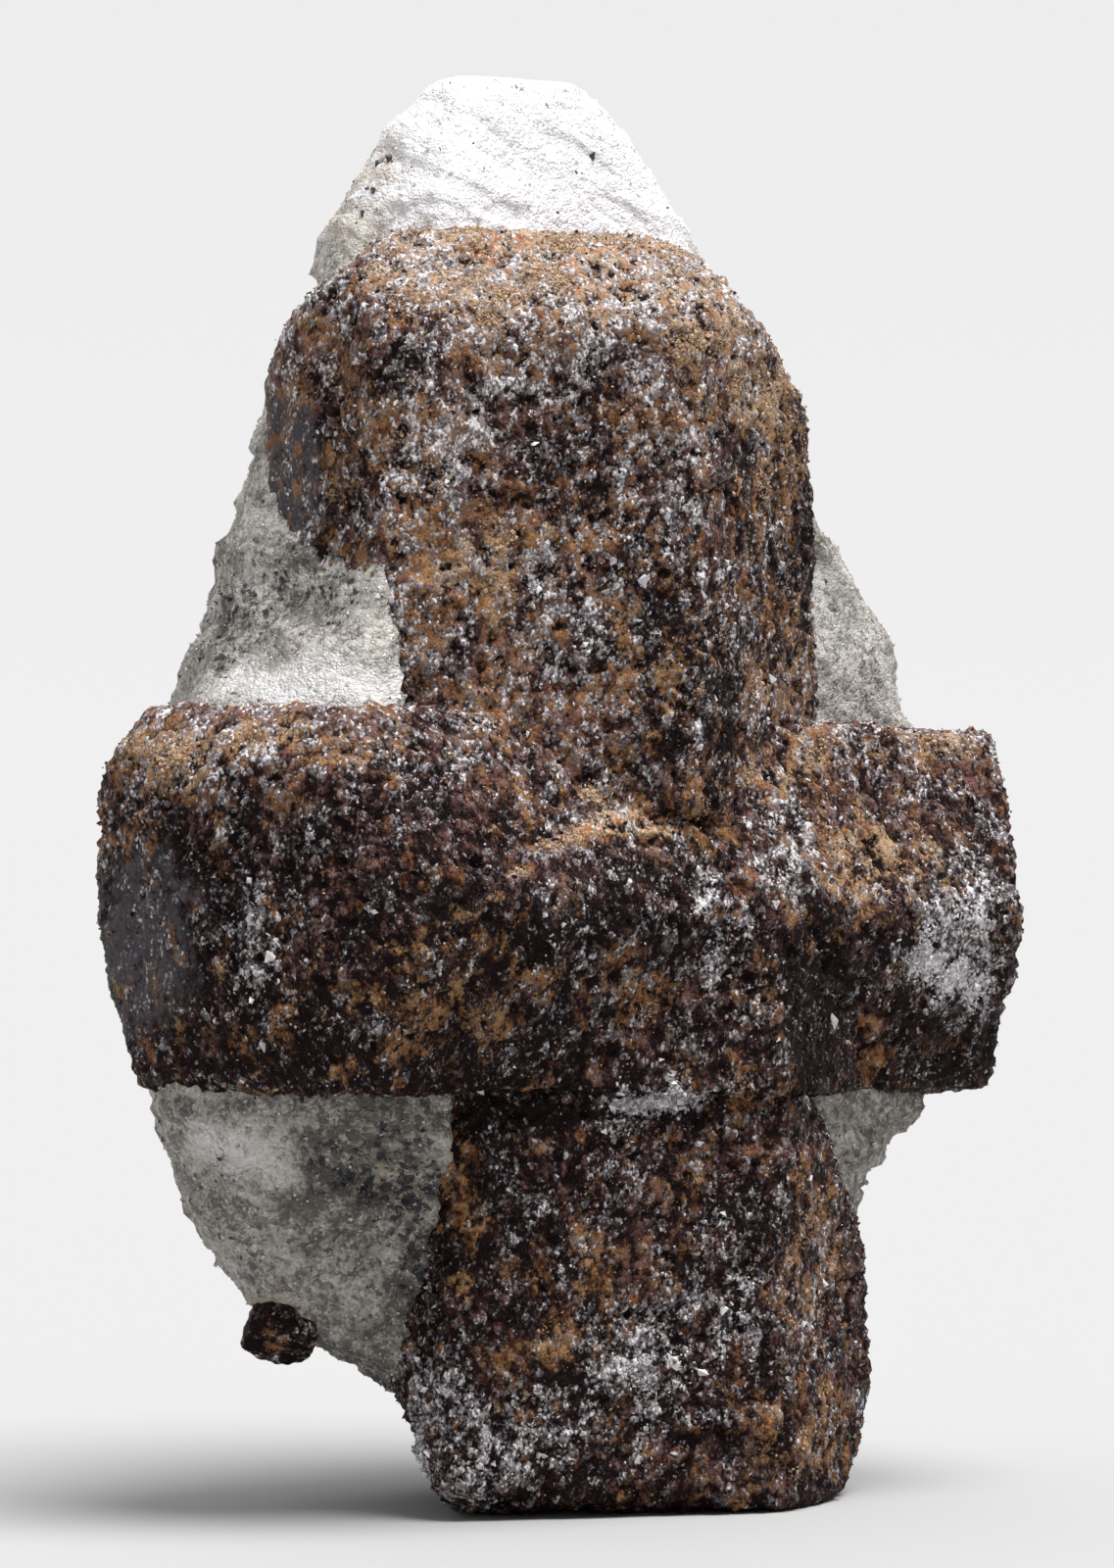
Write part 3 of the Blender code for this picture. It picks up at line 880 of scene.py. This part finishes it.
def rock_surface():
    """The schist's surface: rays to its faces with well-rounded edges, less the hollows, which are
    bell curves of the angle from their middles. Slow lumps, low steps between layers and grains at
    three sizes lie over that. The back is broken into ledges, one to each layer: a sawtooth of the
    place across the layers, its steep side smoothed."""
    planes = plane_set(ROCK_FACES)
    turns = even_turns(planes, ROCK_SPINE, 2, ROCK_COLUMNS)
    starts, rays, body = spine_rays(ROCK_SPINE, 2, turns, ROCK_ROWS)
    points, facing = meet_planes(starts, rays, planes, ROCK_ROUNDING)
    outward = points / np.linalg.norm(points, axis=1, keepdims=True)
    reach = 1 + 0.022 * lumps(outward * 14, 3.2, 81)
    for turn, tilt, width, depth in ROCK_HOLLOWS:
        middle, _ = plane_set(((turn, tilt, 1),))
        angle = np.degrees(np.arccos(np.clip(outward @ middle[0], -1, 1)))
        reach -= depth * np.exp(-((angle / width) ** 2))
    points = points * reach[:, None]
    height, _ = granular(points, ROCK_GRAINS)
    calm = 1 - 0.6 * np.clip(patches(points, facing, CLEAN_SPOTS), 0, 1)
    steps = s_curve(lumps(layered(points), 2.2, 86), -0.15, 0.15)
    slow = 0.20 * lumps(points, 2.6, 84) + 0.12 * lumps(points, 1.2, 85) + 0.20 * steps
    slow = (slow - 0.2) * calm
    away = np.array((math.sin(VIEW_TURN), math.cos(VIEW_TURN), 0))
    broken = s_curve(facing @ away, 0.0, 0.6)
    climb = (points @ np.array(LAYERS_FACE) + 1.4 * lumps(points, 3.4, 87)) / LAYER_STEP % 1
    ledge = LEDGE_HEIGHT * (1 + lumps(points, 2.4, 89)) * (s_curve(climb, 0, 0.3) - climb)
    slow += broken * (ledge + 0.35 * lumps(points, 4.5, 88) - 0.3)
    height *= calm
    points = points + facing * (slow + height)[:, None]
    # Twice over, because a point moved back through one face can still cover the next
    for faces, lean in ((UPPER_FACES, 0), (LOWER_FACES, 0), (CROSS_FACES, TWIN_LEAN)):
        for _ in range(2):
            points = behind_fronts(points, faces, lean)
    return points, facing, height, body


def schist_material():
    """Pale sugary rock of small glassy grains over a grey ground, with fine black mica where its
    attribute says, which also paints the shade under the crossing. Painted shade lies between the
    grains, and faces that look up are painted lighter."""
    material, start = new_material("schist_stone")
    place = place_in_mm(start)
    clean, dirty, mica, sky, height = (
        start.node("Attribute", output="Fac", attribute_name=key)
        for key in ("clean", "dirty", "mica", "sky", "height")
    )
    cloud = noise(place, 0.8, 7.0, 0.68)
    along = place.node("VectorMath", {0: place, 1: LAYERS_FACE}, output="Value", operation="DOT_PRODUCT")
    lift = place.node("VectorMath", {0: LAYERS_FACE, "Scale": along * LAYER_STRETCH}, operation="SCALE")
    sheets = noise(place.node("VectorMath", {0: place, 1: lift}, operation="ADD"), 1.5, 6.0, 0.62)
    mica_cloud = noise(shifted(place, 23.0), 0.30, 5.0, 0.70)
    speckle = noise(place, 0.075, 2.0, 0.6)
    far, one, two = cells(place, 0.19)
    fine_far, fine_one, fine_two = cells(place, 0.07)
    fibres = noise(place_in_mm(start, (1.0, 1.0, 0.2)), 0.16, 4.0, 0.65)

    # The ground, dark to pale grey, and white where it is clean, and lighter on faces that look up with
    # painted light from above
    tone = cloud * 0.50 + sheets * 0.50 + (fibres - 0.5) * 0.35 + (one - 0.5) * 0.22
    tone = tone + (fine_one - 0.5) * 0.20 + (clean - 0.1) * 0.50 + (sky - 0.5) * 0.20
    tone = tone - (mica - 0.2) * 0.12
    colour = tone.ramped(0.30, 0.58).blend(DARK_ROCK, GREY_ROCK)
    colour = tone.ramped(0.46, 0.80).blend(colour, PALE_ROCK)
    colour = (clean * 0.9 + fine_two * 0.25).ramped(0.30, 0.85).blend(colour, CLEAN_WHITE)

    # Warm dirt, rust between the layers, and the dark layers themselves
    dirt = (dirty + (cloud - 0.5) * 1.6 + (two - 0.5) * 0.3).ramped(0.22, 0.85)
    colour = (dirt * 0.65).blend(colour, WARM_ROCK)
    stain = (dirty * 0.6 + (sheets - 0.5) * 2.4 + (fine_two - 0.5) * 0.4).ramped(0.40, 0.9)
    colour = (stain * 0.65).blend(colour, RUST_ON_ROCK)
    layer = (0.5 - sheets + (fibres - 0.5) * 0.5 - clean * 0.4).ramped(0.02, 0.16)
    colour = (layer * 0.55).blend(colour, DARK_ROCK)

    # Flakes of mica, which under the crossing also paint its shade, and painted shade between the grains
    flakes = mica_cloud + (two - 0.5) * 0.22 + (mica - 0.2) * 0.24 - clean * 0.08
    colour = flakes.ramped(0.70, 0.76).blend(colour, BLACK_MICA)
    painted_grain_lighting = height * 0.8 + (1 - far) * 0.35 + (1 - fine_far) * 0.25 + (speckle - 0.5) * 0.3
    painted_grain_lighting = painted_grain_lighting + clean * 0.8
    colour = painted_grain_lighting.ramped(0.20, 0.62).blend(DARK_ROCK, colour)
    glint = fine_one > 0.965
    roughness = 0.35 + fine_two * 0.25 + speckle * 0.25 - glint * 0.3
    relief = (1 - far) * 0.9 + (1 - fine_far) * 0.6 + speckle * 0.7 + fine_two * 0.3
    bump = start.node("Bump", {"Strength": 0.85, "Distance": 0.06 * MM, "Height": relief})
    others = {"IOR": 1.54, "Specular IOR Level": 0.4, "Metallic": glint * 0.6}
    return close_material(material, start, colour, roughness, bump, **others)


schist_stone = schist_material()
rock_points, rock_facing, rock_height, rock_body = rock_surface()


def rock_value(level, spread, size, seed, spots):
    """A number from 0 to 1 for each point of the rock: level, slow noise up to spread, and patches."""
    drift = spread * lumps(rock_points, size, seed)
    return np.clip(level + drift + patches(rock_points, rock_facing, spots), 0, 1)


# The finish paints faces that look up lighter, paints shade between low grains, and paints the shade under
# the crossing with black mica
rock_values = {
    "clean": rock_value(0.1, 0.15, 1.8, 75, CLEAN_SPOTS) + WHITE_TOP * s_curve(rock_points[:, 2], 12, 19),
    "dirty": rock_value(0.1, 0.3, 2.0, 76, DIRTY_SPOTS),
    "mica": rock_value(0.2, 0.2, 1.2, 77, MICA_AND_SHADE_SPOTS),
    "sky": np.clip(0.5 + 0.5 * rock_facing[:, 2], 0, 1),
    "height": np.clip(0.5 + rock_height / HEIGHT_RANGE, 0, 1),
}
rock = add_piece(
    "mica_schist_rock", rock_points, wrapped_faces(rock_body, ROCK_COLUMNS), rock_values, schist_stone
)
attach(rock, "root")
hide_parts("mica_schist_matrix")

# The small crystal in the side
# A stub of a second staurolite crystal that sticks out of the schist low on the left. It is the same
# brown stone as the cross, and blunt at both ends.

SIDE_FACES = (
    (0, 0, 0.75),
    (180, 0, 0.75),
    (0, 60, 0.8),
    (180, 60, 0.8),
    (0, -60, 0.8),
    (180, -60, 0.8),
    (90, 0, 1.7),
    (-90, 0, 1.7),
)
SIDE_PLACE = np.array((-7.1, 1.8, -8.75))
SIDE_TURN = (15, -50, 40)
SIDE_SPINE = ((-0.9, 0, 0), (0.9, 0, 0))
SIDE_COLUMNS = 90
SIDE_ROWS = (20, 24, 20)
SIDE_SHARPNESS = 30
SIDE_ROUGHNESS = 0.4

side_planes = plane_set(SIDE_FACES)
side_turns = even_turns(side_planes, SIDE_SPINE, 0, SIDE_COLUMNS)
side_starts, side_rays, side_body = spine_rays(SIDE_SPINE, 0, side_turns, SIDE_ROWS)
side_points, side_facing = meet_planes(side_starts, side_rays, side_planes, SIDE_SHARPNESS)
side_points = turned(side_points, SIDE_TURN) + SIDE_PLACE
side_facing = turned(side_facing, SIDE_TURN)
side_surface, side_height = weathered(side_points, side_facing, SIDE_ROUGHNESS)
side_crystal = add_piece(
    "small_side_crystal_stone",
    side_surface,
    wrapped_faces(side_body, SIDE_COLUMNS),
    stains(side_points, side_facing, side_height),
    staurolite_stone,
)
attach(side_crystal, "root")
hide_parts("small_side_crystal")

# The loose grains on the cross
# Small broken crystals that stand out of its surface: clear grey quartz in clusters, with a few larger
# pale crystals, rusty bits in the stained places, and dark staurolite everywhere between.

GRAIN_COUNT = 24000
CLEAR_COUNT = 13000
PALE_CRYSTAL_COUNT = 420
# The corners of a grain's eight faces, where 0 and 1, 2 and 3, and 4 and 5 are opposite corners
GRAIN_CORNERS = ((0, 2, 4), (2, 1, 4), (1, 3, 4), (3, 0, 4), (2, 0, 5), (1, 2, 5), (3, 1, 5), (0, 3, 5))
GRAIN_FLATNESS = 0.4
GRAIN_DRIFT = 0.03
# How far above the foot the grains stay, and how deep inside another piece a place is hidden, in mm
FOOT_CLEARANCE = 0.25
HIDDEN_DEPTH = 0.1
ON_CROSS = ("staurolite_twin", "staurolite")


def inside(points, planes, margin=HIDDEN_DEPTH):
    """Whether points lie deeper than margin behind every face."""
    normals, reach = planes
    return (points @ normals.T < reach - margin).all(axis=1)


def cell_areas(points, rows, columns):
    """The area that each grid point stands for: half the cross product of the steps to the points on
    either side of it, along the row and along the column. Both poles count for nothing."""
    grid = points[:-2].reshape(rows, columns, 3)
    across = np.roll(grid, -1, axis=1) - np.roll(grid, 1, axis=1)
    along = np.gradient(grid, axis=0)
    areas = np.linalg.norm(np.cross(across, along), axis=2) / 2
    return np.concatenate((areas.ravel(), (0, 0)))


def covered_by_rock(points, facing):
    """Whether the schist hides a point of a crystal: the point lies within the rock's faces, and isn't
    on a front face, which the rock leaves bare."""
    return inside(points, plane_set(ROCK_FACES)) & (-facing[:, 1] < FRONT_FACING)


def bare_surface():
    """Every point of the crystals that shows, with its direction, stains and area."""
    kept = []
    for index, (_, points, facing, values, rows, columns) in enumerate(crystals):
        shows = ~covered_by_rock(points, facing) & (points[:, 2] > FOOT_CLEARANCE - HEART[2])
        for other, (planes, *_) in enumerate(crystals):
            if other != index:
                shows &= ~inside(points, planes)
        area = cell_areas(points, rows, columns) * shows
        kept.append((points, facing, area, *(values[key] for key in ("rust", "pale", "dark", "smooth"))))
    return [np.concatenate(parts) for parts in zip(*kept)]


def grain_meshes(rng, centres, sizes):
    """One eight-sided grain at each centre: six corners out along three axes that are turned at
    random, each axis its own length, and each corner moved in or out."""
    count = len(centres)
    turns = rng.normal(size=(count, 4))
    w, x, y, z = (turns / np.linalg.norm(turns, axis=1, keepdims=True)).T
    axes = np.stack(
        (
            np.stack((1 - 2 * (y * y + z * z), 2 * (x * y + w * z), 2 * (x * z - w * y)), axis=1),
            np.stack((2 * (x * y - w * z), 1 - 2 * (x * x + z * z), 2 * (y * z + w * x)), axis=1),
            np.stack((2 * (x * z + w * y), 2 * (y * z - w * x), 1 - 2 * (x * x + y * y)), axis=1),
        ),
        axis=1,
    )
    lengths = sizes[:, None] * rng.uniform(GRAIN_FLATNESS, 1.2, (count, 3))
    arms = axes * lengths[:, :, None]
    corners = np.stack((arms, -arms), axis=2).reshape(count, 6, 3)
    corners *= rng.uniform(0.75, 1.2, (count, 6, 1))
    points = (centres[:, None, :] + corners).reshape(-1, 3)
    faces = np.arange(count)[:, None, None] * 6 + np.array(GRAIN_CORNERS)
    return points, faces.reshape(-1, 3)


def grain_material(name, dark, light, sheen, rough):
    """Grains of one kind: the tint that each carries picks its colour between two, and noise breaks
    it up."""
    material, start = new_material(name)
    place = place_in_mm(start)
    tint = start.node("Attribute", output="Fac", attribute_name="tint")
    mottle = noise(place, 0.09, 3.0, 0.7)
    colour = (tint * 0.8 + (mottle - 0.5) * 0.9 + 0.1).ramped(0.0, 1.0).blend(dark, light)
    bump = start.node("Bump", {"Strength": 0.6, "Distance": 0.03 * MM, "Height": mottle})
    roughness = mottle * 0.5 + tint * 0.1 + rough
    others = {"IOR": 1.54, "Specular IOR Level": sheen}
    return close_material(material, start, colour, roughness, bump, **others)


def add_grains(name, seed, surface, weight, sizes, sunk, tone, material, home, count=GRAIN_COUNT):
    """Scatters grains over a surface: its points are drawn by weight, and each grain is moved about a
    little and sunk by a share of its size. Small ones are far more common than large ones."""
    rng = np.random.default_rng(seed)
    points, facing = surface
    drawn = rng.choice(len(points), size=count, p=weight / weight.sum())
    radius = sizes[0] + (sizes[1] - sizes[0]) * rng.random(count) ** 2.5
    centres = points[drawn] + rng.normal(0, GRAIN_DRIFT, (count, 3))
    centres = centres - facing[drawn] * (radius * sunk)[:, None]
    corners, faces = grain_meshes(rng, centres, radius)
    tint = np.clip(tone[drawn] + rng.uniform(-0.4, 0.4, count), 0, 1)
    made = add_piece(name, corners, [faces], {"tint": np.repeat(tint, 6)}, material, smooth=False)
    node, slot = home
    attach(made, "root")
    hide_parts(node)


bare_points, bare_facing, bare_area, bare_rust, bare_pale, bare_dark_and_shade, bare_smooth = bare_surface()
bare = (bare_points, bare_facing)
cluster = np.clip(0.5 + 0.6 * lumps(bare_points, 0.9, 141) + 0.45 * lumps(bare_points, 0.36, 142), 0, 1)
streak = np.clip(0.5 + 0.6 * lumps(bare_points, 0.8, 143) + 0.4 * lumps(bare_points, 0.4, 144), 0, 1)
keep = bare_area * (1 - 0.93 * bare_smooth)

add_grains(
    "clear_grains",
    5,
    bare,
    weight=keep * (0.0005 + (cluster * (0.4 + bare_pale)) ** 10 * 10),
    sizes=(0.026, 0.120),
    sunk=0.3,
    tone=0.7 * bare_pale,
    material=grain_material("clear_quartz_grain", DIM_GLASS, WHITE_GLASS, 0.4, 0.0),
    home=ON_CROSS,
    count=CLEAR_COUNT,
)
add_grains(
    "pale_crystals",
    10,
    bare,
    weight=keep * (0.05 + cluster * bare_pale) ** 2,
    sizes=(0.09, 0.21),
    sunk=0.5,
    tone=0.35 + 0.6 * bare_pale,
    material=grain_material("pale_quartz_crystal", GREY_GLASS, WHITE_GLASS, 0.4, 0.05),
    home=ON_CROSS,
    count=PALE_CRYSTAL_COUNT,
)
add_grains(
    "rusty_grains",
    6,
    bare,
    weight=keep * (0.006 + (streak * (0.4 + bare_rust)) ** 7 * 6),
    sizes=(0.025, 0.085),
    sunk=0.55,
    tone=0.1 + 0.7 * bare_rust,
    material=grain_material("rusty_grain", RED_BROWN, TAN, 0.3, 0.15),
    home=ON_CROSS,
)
# More and darker grains where the dark value holds painted shade as well as dark stone
add_grains(
    "dark_grains",
    7,
    bare,
    weight=keep * (0.3 + bare_dark_and_shade),
    sizes=(0.030, 0.100),
    sunk=0.75,
    tone=0.5 - 0.4 * bare_dark_and_shade,
    material=grain_material("dark_grain", BLACK_BROWN, DEEP_BROWN, 0.15, 0.0),
    home=ON_CROSS,
)

# The loose grains on the schist
# Clear and white quartz that stands out of the rock, and small black flakes of mica. Both are parts
# of the rock itself, and show only where no crystal covers it.

FLAKE_COUNT = 1800
ON_ROCK = ("mica_schist_matrix", "schist")

rock_area = cell_areas(rock_points, rock_body, ROCK_COLUMNS)
rock_area = rock_area * (rock_points[:, 2] > FOOT_CLEARANCE - HEART[2])
for planes, *_ in crystals:
    rock_area = rock_area * ~inside(rock_points, planes)
rock_skin = (rock_points, rock_facing)
add_grains(
    "schist_grains",
    8,
    rock_skin,
    weight=rock_area,
    sizes=(0.030, 0.095),
    sunk=0.75,
    tone=0.25 + 0.7 * rock_values["clean"],
    material=grain_material("schist_grain", GREY_ROCK, CLEAN_WHITE, 0.5, 0.05),
    home=ON_ROCK,
)
# The flakes gather in the black-grain places, so they also paint the shade under the crossing
add_grains(
    "mica_flakes",
    9,
    rock_skin,
    weight=rock_area * rock_values["mica"] ** 3,
    sizes=(0.04, 0.15),
    sunk=0.5,
    tone=np.full(len(rock_area), 0.3),
    material=grain_material("mica_flake", BLACK_MICA, DARK_ROCK, 0.5, 0.0),
    home=ON_ROCK,
    count=FLAKE_COUNT,
)

# The floor and the light
# A plain pale floor that runs out to a pale sky of the same brightness, a large soft light above and
# a weaker one behind, and a camera level with the cross's middle.

FLOOR_RADIUS = 3.0
FLOOR_SIDES = 96
VIEW_DISTANCE = 175 * MM
VIEW_HEIGHT = 16.44 * MM
VIEW_SIDESTEP = -0.45 * MM
VIEW_LENS = 174.8
FLOOR_COLOUR = (0.396, 0.394, 0.390, 1)
HORIZON = (0.875, 0.873, 0.877, 1)
SKY_LOW = (0.845, 0.84, 0.84, 1)
SKY_MIDDLE = (0.20, 0.20, 0.21, 1)
SKY_HIGH = (0.50, 0.505, 0.53, 1)
SKY_TOP = (1.30, 1.31, 1.36, 1)
# Each colour's place on the way from straight down, 0, to straight up, 1
SKY_STOPS = (
    (0.0, HORIZON),
    (0.5, HORIZON),
    (0.56, SKY_LOW),
    (0.66, SKY_MIDDLE),
    (0.85, SKY_HIGH),
    (1.0, SKY_TOP),
)
KEY_FROM = (0.05, -0.35, 1.0)
KEY_POWER = 4.7
KEY_SPREAD = 38
FILL_FROM = (0.55, 0.75, 0.45)
FILL_POWER = 0.9
FILL_SPREAD = 60

ring = np.linspace(0, math.tau, FLOOR_SIDES, endpoint=False)
rim = [(FLOOR_RADIUS * math.cos(a), FLOOR_RADIUS * math.sin(a), 0) for a in ring]
floor_mesh = bpy.data.meshes.new("floor")
floor_mesh.from_pydata(rim, [], [list(range(FLOOR_SIDES))])
floor = bpy.data.objects.new("floor", floor_mesh)
bpy.context.scene.collection.objects.link(floor)
floor_material, floor_start = new_material("pale_floor")
floor_shader = floor_start.node("BsdfDiffuse", {"Color": FLOOR_COLOUR})
floor_start.node("OutputMaterial", {"Surface": floor_shader}, output=None)
floor_mesh.materials.append(floor_material)

# The sky's brightness from straight down to straight up: pale at the level the camera looks along,
# dim above that, and brighter overhead
sky = bpy.data.worlds.new("studio")
bpy.context.scene.world = sky
sky.use_nodes = True
sky.node_tree.nodes.clear()
sky_start = Field(sky.node_tree)
direction = sky_start.node("TexCoord", output="Generated")
height = Field(sky.node_tree, direction.node("SeparateXYZ", {0: direction}).socket.node.outputs[2])
sky_colour = height.node("ValToRGB", {0: height * 0.5 + 0.5}, stops=SKY_STOPS)
sky_glow = sky_start.node("Background", {"Color": sky_colour})
sky_start.node("OutputWorld", {"Surface": sky_glow}, output=None)

for name, power, spread, come_from in (
    ("soft_overhead", KEY_POWER, KEY_SPREAD, KEY_FROM),
    ("soft_back", FILL_POWER, FILL_SPREAD, FILL_FROM),
):
    light = bpy.data.lights.new(name, "SUN")
    light.energy = power
    light.angle = math.radians(spread)
    lamp = bpy.data.objects.new(name, light)
    bpy.context.scene.collection.objects.link(lamp)
    lamp.rotation_mode = "QUATERNION"
    lamp.rotation_quaternion = (-Vector(come_from)).to_track_quat("-Z", "Y")

camera_data = bpy.data.cameras.new("camera")
camera_data.sensor_width = 36
camera_data.lens = VIEW_LENS
camera_data.clip_start = 0.01
camera_data.clip_end = 20
camera = bpy.data.objects.new("camera", camera_data)
bpy.context.scene.collection.objects.link(camera)
looking = Vector((math.sin(VIEW_TURN), math.cos(VIEW_TURN), 0))
sideways = Vector((math.cos(VIEW_TURN), -math.sin(VIEW_TURN), 0))
aim = Vector((HEART[0], HEART[1], 0)) * MM + sideways * VIEW_SIDESTEP + Vector((0, 0, VIEW_HEIGHT))
camera.location = aim - looking * VIEW_DISTANCE
camera.rotation_mode = "QUATERNION"
camera.rotation_quaternion = looking.to_track_quat("-Z", "Y")
bpy.context.scene.camera = camera
bpy.context.scene.view_settings.view_transform = "Standard"
